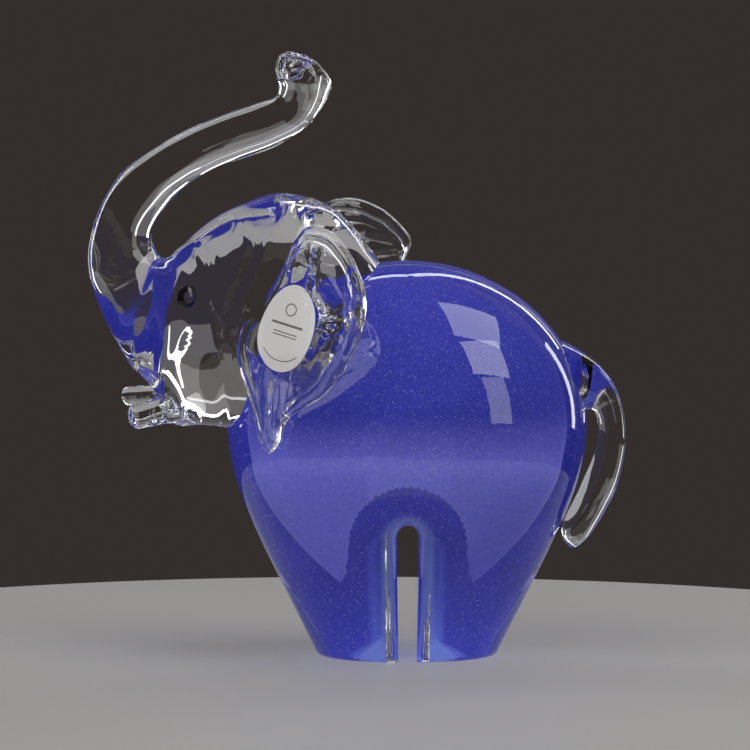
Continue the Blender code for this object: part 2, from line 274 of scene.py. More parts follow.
def slot_blade():
    """The blade's shape: an arch drawn along Y, which opens in a round lip where it leaves the body."""
    radii, heights = np.array(casing_outline()).T
    below = -4.0

    def surface(x, z):
        radius = np.interp(-max(z, foot_edge), -heights, radii)
        return squash * math.sqrt(max(1.0, radius**2 - x**2))

    arch = []
    for k in range(49):
        a = math.pi * k / 48
        arch.append((slot_half_width * math.cos(a), slot_spring + slot_rise * math.sin(a), math.cos(a), math.sin(a)))
    wall = []
    for k in range(1, 29):
        t = k / 28
        half = slot_half_width + (slot_foot_half_width - slot_half_width) * t
        wall.append((-half, slot_spring + (below - slot_spring) * t, -1.0, 0.0))
    floor = [(x, below, 0.0, 0.0) for x in np.linspace(-slot_foot_half_width, slot_foot_half_width, 5)[1:-1]]
    section = arch + wall + floor + [(-x, z, 1.0, 0.0) for x, z, _, _ in reversed(wall)]
    rounding = [math.radians(a) for a in (80, 72, 64, 56, 48, 40, 32, 24, 16, 8, 0)]
    lip = [(slot_lip * (1 - math.cos(a)), slot_lip * (1 - math.sin(a))) for a in rounding]
    slope = (math.sin(rounding[0]), -math.cos(rounding[0]))
    lip = [(lip[0][0] + slope[0] * run, lip[0][1] + slope[1] * run - drop) for run, drop in ((4, 8), (3.5, 0), (1, 0))] + lip
    stations = [(-1, *s) for s in lip] + [(0, 0, 0)] + [(1, *s) for s in reversed(lip)]
    bm, turn, row = ring_tube(len(section), len(stations))
    for v in bm.verts:
        x, z, out, up = section[round(v[turn] / (2 * math.pi) * len(section)) % len(section)]
        side, opened, depth = stations[round(v[row])]
        x, z = x + out * opened, z + up * opened
        v.co = (body_axis + x, side * (surface(x, z) - depth), z)
    return shaped("blade", bm, clear_glass)


casing = glass_ball(84)
turned(casing, casing_outline())
rippled(casing, 0.12, 17.0)
for v in casing.verts:
    v.co = (body_axis + v.co.x, squash * v.co.y, max(0.0, v.co.z))
casing = shaped("crystal_casing", casing, clear_glass)
carve(casing, slot_blade())
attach(casing, "root")
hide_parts("body_casing")

# ---------------------------------------------------------------- the cobalt gather
# Inside the casing is a gather of cobalt glass, rolled in blue powder, so that it is milky and full of seeds.
# It follows the body's shape some way in, and shows at the sole, where both are ground.

core_low, core_high = (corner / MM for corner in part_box("blue_core"))
core_radius = (core_high.x - core_low.x) / 2
core_middle = 61.0


def powder_specks():
    """A mask of fine white seeds scattered through the glass, and a slow drift of powder."""
    group = bpy.data.node_groups.new("powder_specks", "ShaderNodeTree")
    face = group.interface
    for socket in ("Seed Scale", "Seed Size", "Drift Scale"):
        face.new_socket(socket, in_out="INPUT", socket_type="NodeSocketFloat")
    for socket in ("Seeds", "Drift"):
        face.new_socket(socket, in_out="OUTPUT", socket_type="NodeSocketFloat")
    nodes, links = group.nodes, group.links
    given, gives = nodes.new("NodeGroupInput"), nodes.new("NodeGroupOutput")
    where = nodes.new("ShaderNodeTexCoord")
    cells = nodes.new("ShaderNodeTexVoronoi")
    links.new(where.outputs["Object"], cells.inputs["Vector"])
    links.new(given.outputs["Seed Scale"], cells.inputs["Scale"])
    pick = nodes.new("ShaderNodeSeparateColor")
    links.new(cells.outputs["Color"], pick.inputs["Color"])
    reach = nodes.new("ShaderNodeMath")
    reach.operation = "MULTIPLY"
    links.new(pick.outputs["Red"], reach.inputs[0])
    links.new(given.outputs["Seed Size"], reach.inputs[1])
    seed = nodes.new("ShaderNodeMapRange")
    seed.inputs["From Min"].default_value = 0.0
    seed.inputs["To Min"].default_value = 1.0
    seed.inputs["To Max"].default_value = 0.0
    links.new(cells.outputs["Distance"], seed.inputs["Value"])
    links.new(reach.outputs[0], seed.inputs["From Max"])
    drift = nodes.new("ShaderNodeTexNoise")
    drift.inputs["Detail"].default_value = 6.0
    links.new(where.outputs["Object"], drift.inputs["Vector"])
    links.new(given.outputs["Drift Scale"], drift.inputs["Scale"])
    links.new(seed.outputs["Result"], gives.inputs["Seeds"])
    links.new(drift.outputs["Fac"], gives.inputs["Drift"])
    return group


specks = powder_specks()


def powdered(nodes, links, deep, pale, white, seed_scale, seed_size, drift_scale):
    """A drifting colour between deep and pale, with white seeds. Gives its output socket."""
    powder = nodes.new("ShaderNodeGroup")
    powder.node_tree = specks
    powder.inputs["Seed Scale"].default_value = seed_scale
    powder.inputs["Seed Size"].default_value = seed_size
    powder.inputs["Drift Scale"].default_value = drift_scale
    tone = nodes.new("ShaderNodeValToRGB")
    tone.color_ramp.elements[0].position = 0.35
    tone.color_ramp.elements[0].color = (*deep, 1)
    tone.color_ramp.elements[1].position = 0.68
    tone.color_ramp.elements[1].color = (*pale, 1)
    links.new(powder.outputs["Drift"], tone.inputs["Fac"])
    seeded = nodes.new("ShaderNodeMix")
    seeded.data_type = "RGBA"
    seeded.inputs["B"].default_value = (*white, 1)
    links.new(powder.outputs["Seeds"], seeded.inputs["Factor"])
    links.new(tone.outputs["Color"], seeded.inputs["A"])
    return seeded.outputs["Result"]


def cobalt_glass():
    """Milky cobalt: its near side is half clear, and its far side, seen from within, is dense blue.

    Round the slot and at the soles beside it the blue is painted paler: a painted glow, standing in for light shining
    through the glass there.
    """
    made, nodes, links = new_material("cobalt_glass")
    shader = nodes["Principled BSDF"]
    colour = powdered(nodes, links, (0.05, 0.06, 0.5), (0.07, 0.08, 0.6), (0.5, 0.52, 1.0), 1500, 0.42, 60)
    where = nodes.new("ShaderNodeTexCoord")
    split = nodes.new("ShaderNodeSeparateXYZ")
    links.new(where.outputs["Object"], split.inputs[0])

    def maths(operation, a, b):
        node = nodes.new("ShaderNodeMath")
        node.operation = operation
        for socket, value in zip(node.inputs, (a, b)):
            if isinstance(value, float):
                socket.default_value = value
            else:
                links.new(value, socket)
        return node.outputs[0]

    # Painted glow: the base colour turns paler blue close to the slot and towards the soles, where light shines
    # through the glass.
    off = maths("ABSOLUTE", maths("SUBTRACT", split.outputs["X"], body_axis * MM), 0.0)
    above = maths("MAXIMUM", maths("SUBTRACT", split.outputs["Z"], 33.5 * MM), 0.0)
    near_sole = maths("MAXIMUM", maths("SUBTRACT", 7.5 * MM, split.outputs["Z"]), 0.0)
    reach = maths("SUBTRACT", maths("SQRT", maths("ADD", maths("MULTIPLY", off, off), maths("MULTIPLY", above, above)), 0.0), near_sole)
    slot_glow_mask = nodes.new("ShaderNodeMapRange")
    slot_glow_mask.interpolation_type = "SMOOTHSTEP"
    slot_glow_mask.inputs["From Min"].default_value = 7.0 * MM
    slot_glow_mask.inputs["From Max"].default_value = 5.3 * MM
    links.new(reach, slot_glow_mask.inputs["Value"])
    paler = nodes.new("ShaderNodeMix")
    paler.data_type = "RGBA"
    paler.inputs["B"].default_value = (0.26, 0.36, 0.85, 1)
    links.new(slot_glow_mask.outputs["Result"], paler.inputs["Factor"])
    links.new(colour, paler.inputs["A"])
    links.new(paler.outputs["Result"], shader.inputs["Base Color"])
    shader.inputs["Roughness"].default_value = 0.6
    shader.inputs["Specular IOR Level"].default_value = 0.0
    surface = nodes.new("ShaderNodeNewGeometry")
    cover = nodes.new("ShaderNodeMapRange")
    cover.inputs["To Min"].default_value = 0.45
    cover.inputs["To Max"].default_value = 1.0
    links.new(surface.outputs["Backfacing"], cover.inputs["Value"])
    links.new(cover.outputs["Result"], shader.inputs["Alpha"])
    path = nodes.new("ShaderNodeLightPath")
    tinted = nodes.new("ShaderNodeBsdfTransparent")
    tinted.inputs["Color"].default_value = (0.75, 0.76, 0.98, 1.0)
    mix = nodes.new("ShaderNodeMixShader")
    links.new(path.outputs["Is Shadow Ray"], mix.inputs[0])
    links.new(shader.outputs[0], mix.inputs[1])
    links.new(tinted.outputs[0], mix.inputs[2])
    links.new(mix.outputs[0], nodes["Material Output"].inputs["Surface"])
    return made


def core_outline():
    """A ball that narrows to a waist, with legs that run down to the ground sole."""
    top = dome(core_radius, core_high.z - core_middle, core_middle, -math.radians(25), 50)
    return top + [(33.2, 38.0), (28.2, 31.6), (23.2, 22.0), (18.2, 10.0), (15.4, 0.02), (0.0, 0.02)]


core = glass_ball(40)
turned(core, core_outline())
for v in core.verts:
    v.co = (body_axis + v.co.x, squash * v.co.y, v.co.z)
core = shaped("cobalt_gather", core, cobalt_glass())
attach(core, "root")
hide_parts("blue_core")


def archway(half_width, top, foot_half_width, raggedness, finish):
    """A tool to cut an arch along Y, right through. Its edge can be ragged."""
    bm, turn, row = ring_tube(144, 2)
    spring = top - half_width
    for v in bm.verts:
        a = v[turn]
        k = round(a / (2 * math.pi) * 144)
        ragged = 1 + raggedness * ((k % 3) - 1 + noise.noise((k * 0.7, 0, 0)))
        if a <= math.pi:
            x, z = half_width * ragged * math.cos(a), spring + half_width * ragged * math.sin(a)
        else:
            down = min(1.0, (math.pi / 2 - abs(a - 1.5 * math.pi)) / 1.3)
            x = math.copysign(half_width + (foot_half_width - half_width) * down, math.cos(a)) * ragged
            z = spring - (spring + 5) * down
            if down == 1.0:
                x *= min(1.0, abs(a - 1.5 * math.pi) / (math.pi / 2 - 1.3))
        v.co = (body_axis + x, -60 if v[row] == 0 else 60, z)
    return shaped("archway", bm, finish)


carve(core, archway(5.5, 39.2, 5.1, 0.0, clear_glass))

# ---------------------------------------------------------------- the lilac powder ball
# The first gather was rolled in lilac enamel powder. It lies deep in the cobalt as a cloudy ball, and the
# blade pushed an arch into it, whose edge is ragged where the powder tore.


def lilac_powder():
    made, nodes, links = new_material("lilac_powder")
    shader = nodes["Principled BSDF"]
    upper_ball_colour = powdered(nodes, links, (0.05, 0.055, 0.28), (0.08, 0.08, 0.36), (0.3, 0.3, 0.85), 1700, 0.5, 1500)
    lower_ball_colour = powdered(nodes, links, (0.5, 0.5, 0.95), (0.7, 0.66, 1.0), (1.0, 1.0, 1.0), 1700, 0.5, 1500)
    where = nodes.new("ShaderNodeTexCoord")
    split = nodes.new("ShaderNodeSeparateXYZ")
    links.new(where.outputs["Object"], split.inputs[0])
    # The ball's colour is deep blue above 65 mm and turns pale lilac below 50 mm.
    low = nodes.new("ShaderNodeMapRange")
    low.interpolation_type = "SMOOTHSTEP"
    low.inputs["From Min"].default_value = 65.0 * MM
    low.inputs["From Max"].default_value = 50.0 * MM
    links.new(split.outputs["Z"], low.inputs["Value"])
    colour = nodes.new("ShaderNodeMix")
    colour.data_type = "RGBA"
    links.new(low.outputs["Result"], colour.inputs["Factor"])
    links.new(upper_ball_colour, colour.inputs["A"])
    links.new(lower_ball_colour, colour.inputs["B"])
    links.new(colour.outputs["Result"], shader.inputs["Base Color"])
    shader.inputs["Roughness"].default_value = 0.7
    shader.inputs["Specular IOR Level"].default_value = 0.0
    shader.inputs["Sheen Weight"].default_value = 0.6
    shader.inputs["Sheen Roughness"].default_value = 0.25
    shader.inputs["Sheen Tint"].default_value = (0.95, 0.8, 1.0, 1.0)
    return made


ball_finish = lilac_powder()
def smooth_rows(rows, count):
    """That many rows, evenly spread along a Catmull-Rom curve through the given ones."""
    rows = np.array(rows, float)
    padded = np.vstack([2 * rows[0] - rows[1], rows, 2 * rows[-1] - rows[-2]])
    found = []
    for place in np.linspace(0, len(rows) - 1, count):
        i = min(int(place), len(rows) - 2)
        t = place - i
        a, b, c, d = padded[i : i + 4]
        bend = (2 * a - 5 * b + 4 * c - d) * t * t
        found.append(0.5 * (2 * b + (c - a) * t + bend + (3 * b - a - 3 * c + d) * t**3))
    return found


ball = glass_ball(56)
ball_line = dome(32.4, 28.0, 61.0, -math.radians(12), 40)
turned(ball, ball_line + smooth_rows([ball_line[-1], (30.4, 49.0), (26.2, 40.5), (20.2, 31.5), (13.5, 23.6), (7.0, 18.6), (0.0, 17.2)], 30)[1:])
for v in ball.verts:
    v.co = (body_axis + v.co.x, 0.8 * v.co.y, v.co.z)
ball = shaped("lilac_ball", ball, ball_finish)
carve(ball, archway(13.4, 47.0, 13.4, 0.016, ball_finish))
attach(ball, "root")

# ---------------------------------------------------------------- head and trunk
# A second gather of clear crystal is laid against the body. The head is shaped with the jacks, and the trunk
# is drawn out of it, swept up and back. Its tip is pinched, and the nostrils and the mouth are poked in.

head_ribs = [
    ((10.0, 92.0), (-21.0, 56.0), 22.0),
    ((5.4, 103.8), (-33.6, 59.4), 25.5),
    ((-5.6, 116.6), (-41.0, 60.2), 27.0),
    ((-18.7, 121.2), (-48.6, 60.8), 26.0),
    ((-31.0, 118.4), (-53.6, 68.6), 21.5),
    ((-41.2, 111.9), (-57.8, 73.6), 17.0),
    ((-47.0, 106.1), (-64.3, 83.8), 13.0),
    ((-50.7, 104.4), (-69.2, 95.6), 10.2),
    ((-53.0, 106.6), (-70.6, 103.6), 8.8),
    ((-53.6, 110.4), (-69.4, 111.9), 8.0),
    ((-51.5, 115.2), (-66.4, 119.4), 7.6),
    ((-47.4, 120.4), (-61.6, 126.6), 7.2),
    ((-43.0, 124.0), (-53.6, 132.6), 6.8),
    ((-37.6, 127.3), (-44.8, 137.6), 6.5),
    ((-29.4, 130.2), (-35.2, 141.6), 6.3),
    ((-20.6, 133.6), (-26.4, 144.6), 6.1),
    ((-13.0, 138.6), (-21.4, 146.4), 6.0),
    ((-8.2, 145.2), (-20.8, 149.6), 6.8),
    ((-6.6, 150.0), (-21.6, 153.6), 7.4),
    ((-9.2, 154.4), (-20.6, 156.8), 5.6),
    ((-12.6, 156.8), (-18.2, 158.2), 2.6),
]


head_folds = [
    # points along it in XZ, height and half width
    ([(-39.2, 94.7), (-35.9, 92.6), (-33.7, 88.8), (-31.8, 87.3), (-33.0, 84.4), (-31.5, 79.3)], 0.9, 1.3),
    ([(-29.3, 111.7), (-26.3, 107.3), (-28.5, 99.2), (-31.5, 94.0), (-31.8, 91.0)], 0.9, 1.3),
    ([(-46.0, 105.5), (-42.5, 106.9), (-39.6, 104.3), (-38.5, 100.6), (-38.8, 96.9)], 0.9, 1.2),
    ([(-48.4, 103.6), (-44.8, 105.0), (-39.6, 109.8), (-33.7, 112.6), (-29.3, 114.0), (-22.7, 114.6)], 0.7, 1.2),
]


def off_line(points, line):
    """How far each of many points is from a curve through the points of a line."""
    curve = np.array(smooth_rows(line, 30))
    best = np.full(len(points), 1e9)
    for a, b in zip(curve, curve[1:]):
        t = np.clip((points - a) @ (b - a) / ((b - a) @ (b - a)), 0, 1)
        best = np.minimum(best, np.linalg.norm(points - a - t[:, None] * (b - a), axis=1))
    return best


def drawn_form(name, ribs, sides, rows, finish, pulled, folds):
    """A form drawn through ribs: ovals across the XZ plane, by their two ends there and a half width in Y."""
    rings = smooth_rows([(*upper, *lower, width) for upper, lower, width in ribs], rows)
    bm, turn, row = ring_tube(sides, rows)
    for v in bm.verts:
        ux, uz, lx, lz, width = rings[round(v[row])]
        c, s = math.cos(v[turn]), math.sin(v[turn])
        middle, half = Vector((ux + lx, 0, uz + lz)) / 2, Vector((ux - lx, 0, uz - lz)) / 2
        v.co = middle + half * c + Vector((0, width * s, 0))
    bmesh.ops.recalc_face_normals(bm, faces=bm.faces[:])
    bm.normal_update()
    moves = []
    flat = np.array([(v.co.x, v.co.z) for v in bm.verts])
    raised = np.zeros(len(flat))
    for line, height, half_width in folds:
        raised += height * np.exp(-((off_line(flat, line) / half_width) ** 2))
    for v, fold in zip(bm.verts, raised):
        along, c, s = v[row] / rows, math.cos(v[turn]), math.sin(v[turn])
        bulk = max(0.0, 1 - 2.6 * along)
        across, down = 0.9 * v.co.x - 0.43 * v.co.z, 0.43 * v.co.x + 0.9 * v.co.z
        far = 0.35 + 0.65 * min(1.0, max(0.0, v.co.y / 12.0 + 0.5))
        bulk *= min(1.0, max(0.0, (v.co.z - 70.0) / 16.0))
        swell = 0.8 * noise.noise(v.co / 12.0) + 1.5 * far * noise.noise((across / 7.0, down / 26.0, v.co.y / 18.0))
        wave = 0.08 * noise.noise(v.co / 7.0) - 0.06 + fold * (1.0 if v.co.y < 0 else 0.3)
        streak = 0.1 * noise.noise((3.2 * c, 3.2 * s, 6.0 * along))
        moves.append(v.normal * (pulled * bulk * swell + wave + streak))
    for v, move in zip(bm.verts, moves):
        v.co += move
    return shaped(name, bm, finish)


def pebble(name, place, size, tilt, swing, square, finish):
    """A rounded lump: an egg whose corners can be squared. Tilt leans it in XZ, and swing turns it about Z."""
    bm = glass_ball(24)
    for v in bm.verts:
        plump = sum(abs(c) ** square for c in v.co) ** (-1 / square)
        v.co = Vector([c * plump * s for c, s in zip(v.co, size)])
    lean = Matrix.Rotation(math.radians(-tilt), 4, "Y")
    bm.transform(Matrix.Translation(place) @ Matrix.Rotation(math.radians(swing), 4, "Z") @ lean)
    return shaped(name, bm, finish)


head = drawn_form("head_with_trunk", head_ribs, 170, 230, clear_glass, 1.0, head_folds)
nostrils = (((-17.2, -5.4, 153.9), (4.3, 2.4, 3.1)), ((-14.0, 5.4, 154.9), (4.3, 2.4, 3.1)))
for place, size in nostrils:
    carve(head, pebble("nostril", place, size, 28, 0, 2.0, clear_glass))
carve(head, pebble("mouth", (-52.4, 0, 72.8), (6.2, 7.0, 4.1), -12, 0, 4.0, clear_glass))
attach(head, "root")
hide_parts("head_and_trunk")

# ---------------------------------------------------------------- tusks
# Two short bits of clear glass are stuck on beside the mouth and nipped off.

tusks = {
    "left_tusk": ((-45.0, -10.5, 66.2), (-59.0, -14.5, 62.8), 3.3),
    "right_tusk": ((-50.0, 9.0, 68.0), (-62.5, 11.0, 67.4), 2.5),
}


def tusk(name, root, tip, radius):
    """A round stub with a nipped end, from root to tip."""
    root, tip = Vector(root), Vector(tip)
    length = (tip - root).length
    end = dome(radius, 0.6 * radius, length - 0.6 * radius, 0.0, 12)
    bm = glass_ball(24)
    turned(bm, end + [(radius * 1.05, 0.5 * length), (radius * 1.3, 0.0), (0.0, 0.0)])
    rippled(bm, 0.25, 3.0)
    bm.transform(Matrix.Translation(root) @ (tip - root).to_track_quat("Z", "Y").to_matrix().to_4x4())
    return shaped(name, bm, clear_glass)


for node, place in tusks.items():
    bit = tusk(node + "_bit", *place)
    fuse(bit, head)
    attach(bit, "root")
    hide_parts(node)

# ---------------------------------------------------------------- ears
# Each ear is a flat bit of clear glass, pressed against the head and curled up along its back edge. It has a
# thick rolled rim, a bowl behind a crimped ridge, folds at the top, and a drawn nub at the bottom.

left_leaf = [
    (1.0, 26.3), (7.5, 24.8), (12.8, 19.5), (17.2, 12.8), (19.2, 7.0), (18.4, 0.4), (15.3, -6.0),
    (10.7, -12.3), (5.4, -17.2), (-0.8, -20.6), (-4.8, -23.6), (-6.8, -28.6), (-9.4, -31.4), (-12.0, -28.2),
    (-13.4, -20.5), (-15.6, -13.5), (-17.4, -6.0), (-16.6, 0.5), (-13.4, 4.6), (-10.6, 9.4), (-7.4, 14.6),
    (-5.0, 19.6), (-2.6, 23.8),
]  # fmt: skip
right_leaf = [
    (0.0, 29.0), (7.7, 28.2), (14.6, 24.6), (19.6, 20.2), (23.2, 16.0), (23.8, 13.4), (20.4, 8.0),
    (17.0, 0.0), (14.5, -8.0), (9.0, -14.0), (2.5, -19.5), (-4.5, -24.5), (-9.0, -26.5), (-13.0, -23.0),
    (-17.5, -12.0), (-19.5, 1.0), (-16.0, 11.0), (-11.5, 19.0), (-6.5, 25.8),
]  # fmt: skip
left_marks = [
    # points along it, height, half width, depth and length of its crimps
    ([(3.9, 21.0), (2.4, 14.0), (1.2, 6.0)], 1.3, 0.9, 1.0, 0.45),
    ([(-4.5, 21.5), (-1.0, 24.0), (3.0, 23.6), (6.5, 21.5)], 0.9, 0.8, 0.0, 1.0),
    ([(-6.5, 13.5), (-2.6, 18.6), (0.4, 20.4), (1.2, 17.4)], 0.8, 0.7, 0.0, 1.0),
    ([(-3.0, 20.0), (-8.2, 9.0), (-14.0, 0.6)], 0.7, 0.7, 0.0, 1.0),
    ([(-8.5, -13.0), (-9.0, -21.0), (-9.6, -28.0)], 0.8, 0.7, 0.0, 1.0),
    ([(-11.6, -12.0), (-11.6, -21.0), (-10.8, -27.0)], 0.7, 0.6, 0.0, 1.0),
]
right_marks = [
    ([(-2.0, 24.0), (9.0, 22.0), (21.5, 14.6)], 0.7, 0.7, 0.0, 1.0),
    ([(-3.0, 18.0), (8.0, 17.6), (20.5, 13.6)], 0.6, 0.7, 0.0, 1.0),
    ([(-4.0, 10.0), (6.0, 12.0), (19.0, 11.6)], 0.6, 0.7, 0.0, 1.0),
]
# leaf, marks, middle, yaw, turn, side of the head, curl, bowl depth
ears = {
    "left_ear": (left_leaf, left_marks, (-13.5, -31.5, 86.0), 24.0, 0.0, -1, 4.1, 2.8),
    "right_ear": (right_leaf, right_marks, (-3.5, 30.744, 91.0), 24.0, 10.0, 1, 2.8, 1.0),
}
web_front, web_back = 1.7, -1.2
rim_back, rim_front = 2.3, 1.4


def ear_frame(middle, yaw, turn, hand):
    """From the leaf's (u, v, w), with w out of its open side, to the figurine's own axes."""
    outward = Matrix.Scale(hand, 4, (0, 1, 0))
    stand = Matrix(((1, 0, 0, 0), (0, 0, 1, 0), (0, 1, 0, 0), (0, 0, 0, 1)))
    swing = Matrix.Rotation(math.radians(yaw), 4, "Z")
    roll = Matrix.Rotation(math.radians(-turn), 4, "Y")
    return Matrix.Translation(Vector(middle)) @ outward @ swing @ roll @ stand


def nearest(point, line):
    """How far a point is from a line of points, and how far along the line that is."""
    best, passed = (1e9, 0.0), 0.0
    for a, b in zip(line, line[1:]):
        a, b = np.array(a), np.array(b)
        length = np.linalg.norm(b - a)
        t = min(1.0, max(0.0, (point - a) @ (b - a) / length**2))
        best = min(best, (np.linalg.norm(point - a - t * (b - a)), passed + t * length))
        passed += length
    return best


def ear_bend(u, v, curl, bowl):
    """How the whole leaf bends out of its plane: curled at the back, proud in front, and bowled."""
    curled = curl * max(0.0, (u - 2.0) / 18.0) ** 2
    laid = 0.16 * min(3.0, max(-12.0, u)) - 0.13 * min(24.0, max(-6.0, v)) + 0.8
    proud = 2.4 * min(1.0, max(0.0, (-u - 11.0) / 5.0))
    return curled + laid + proud - bowl * math.exp(-(((u - 9.5) / 6.5) ** 2) - ((v - 8.5) / 10.5) ** 2)


def ear(name, leaf, marks, middle, yaw, turn_by, hand, curl, bowl):
    """Rings of the leaf, from the middle of its back, round the rim, to the middle of its open side."""
    sides = 200
    outline = smooth_rows([leaf[-1], *leaf, leaf[0], leaf[1]], 20 * (len(leaf) + 2) + 1)
    outline = np.array(outline[20 : 20 + 20 * len(leaf)])
    steps = np.hypot(*np.diff(np.vstack([outline, outline[:1]]), axis=0).T)
    reached = np.concatenate([[0.0], np.cumsum(steps)])
    marches = np.linspace(0, reached[-1], sides, endpoint=False)
    outline = np.array([np.interp(marches, reached, np.append(c, c[0])) for c in outline.T]).T
    heart, pinch = np.array((-1.0, 1.0)), np.array((18.8, 7.2))
    back = [(f, None) for f in np.linspace(0.04, 1.0, 16)]
    bead = [(None, a) for a in np.linspace(-138, 138, 25)]
    front = [(f, None) for f in np.linspace(1.0, 0.02, 60)]
    rows = back + bead + front
    bm, turn, row = ring_tube(sides, len(rows))
    place = ear_frame(middle, yaw, turn_by, hand)
    for v in bm.verts:
        k = round(v[turn] / (2 * math.pi) * sides) % sides
        inward = outline[k] - heart
        length = np.linalg.norm(inward)
        inward = inward / length
        radius = rim_front + (rim_back - rim_front) * min(1.0, max(0.0, (outline[k][0] + 8.0) / 16.0))
        radius *= 1 + 0.18 * noise.noise((*(outline[k] / 6.0), hand * 3.0))
        radius += 0.7 * math.exp(-(np.linalg.norm(outline[k] - pinch) / 2.4) ** 2)
        share, angle = rows[round(v[row])]
        if share is None:
            from_edge = radius * (1 - math.cos(math.radians(angle)))
            out = radius * math.sin(math.radians(angle)) + 0.2
            at = heart + inward * (length - from_edge)
        else:
            at = heart + inward * (length - radius * 1.8) * share
            out = web_front if v[row] > len(back) else web_back - 8.0 * math.exp(-((share * length / 11.0) ** 2))
            edge = max(0.0, 1 - (length - radius * 1.8) * (1 - share) / 2.2)
            rim = 0.69 * radius
            out += edge**2 * ((rim + 0.2 if out > 0 else 0.2 - rim) - out)
            if v[row] > len(back):
                fade = 1 - edge
                for line, height, half_width, crimp, pitch in marks:
                    off, along = nearest(at, line)
                    if off < 3 * half_width:
                        tall = height + crimp * noise.noise((along / pitch, off / half_width, 0.0))
                        out += fade * tall * math.exp(-((off / half_width) ** 2))
        v.co = place @ Vector((at[0], at[1], out + ear_bend(at[0], at[1], curl, bowl)))
    bmesh.ops.recalc_face_normals(bm, faces=bm.faces[:])
    rippled(bm, 0.16, 5.0)
    return shaped(name, bm, clear_glass)


for node, shape in ears.items():
    leaf = ear(node + "_leaf", *shape)
    fuse(leaf, head)
    fuse(leaf, casing)
    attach(leaf, "root")
    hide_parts(node)
fuse(head, casing)

# ---------------------------------------------------------------- tail
# A ribbon of clear glass is dropped on the rump, drawn down in a loop and touched back to the body.

tail_ribs = [
    ((50.0, 84.0), (50.0, 64.0), 13.0),
    ((55.5, 81.8), (56.5, 64.2), 11.0),
    ((61.2, 78.2), (61.6, 64.2), 7.2),
    ((65.2, 74.2), (62.7, 62.6), 5.6),
    ((68.4, 68.8), (63.0, 60.2), 5.2),
    ((70.4, 60.0), (62.9, 57.2), 5.0),
    ((70.2, 52.4), (62.2, 53.4), 5.0),
    ((68.2, 43.8), (60.2, 48.4), 5.0),
    ((65.0, 37.6), (57.6, 42.4), 5.0),
    ((61.0, 31.4), (54.8, 37.0), 4.8),
    ((57.6, 28.4), (53.6, 33.0), 3.8),
    ((55.6, 28.3), (53.9, 30.4), 1.6),
]
tail = drawn_form("tail_loop", tail_ribs, 56, 120, clear_glass, 0.0, [])
fuse(tail, casing)
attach(tail, "root")
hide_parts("tail")

# ---------------------------------------------------------------- eyes
# Each eye is a bead of near-black glass, pressed into the head while it was hot.


def bead_glass():
    """Near-black glass, with a paler middle that is a painted highlight."""
    made, nodes, links = new_material("dark_bead")
    shader = nodes["Principled BSDF"]
    shader.inputs["Roughness"].default_value = 0.08
    ring = nodes.new("ShaderNodeAttribute")
    ring.attribute_name = "from_middle"
    tone = nodes.new("ShaderNodeValToRGB")
    # The paler middle is a painted highlight, where the lamp's reflection sits in the bead.
    tone.color_ramp.elements[0].position = 0.42
    tone.color_ramp.elements[0].color = (0.06, 0.05, 0.075, 1)
    tone.color_ramp.elements[1].position = 0.6
    tone.color_ramp.elements[1].color = (0.006, 0.005, 0.009, 1)
    links.new(ring.outputs["Fac"], tone.inputs["Fac"])
    links.new(tone.outputs["Color"], shader.inputs["Base Color"])
    return made


dark_bead = bead_glass()
eye_size = (2.9, 1.6, 2.9)
for node, hand in (("left_eye", -1), ("right_eye", 1)):
    bead = glass_ball(16)
    ring = bead.verts.layers.float.new("from_middle")
    for v in bead.verts:
        v[ring] = math.hypot(v.co.x, v.co.z)
        v.co = Vector([c * s for c, s in zip(v.co, eye_size)])
    place = Matrix.Translation((-43.4, hand * 20.6, 94.3)) @ Matrix.Rotation(math.radians(-hand * 24), 4, "Z")
    bead.transform(place)
    bead = shaped(node + "_bead", bead, dark_bead)
    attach(bead, "root")
    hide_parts(node)

# ---------------------------------------------------------------- sticker
# An egg-shaped sticker of coated paper is on the left ear. Its print is a plain ring over thin grey rules.


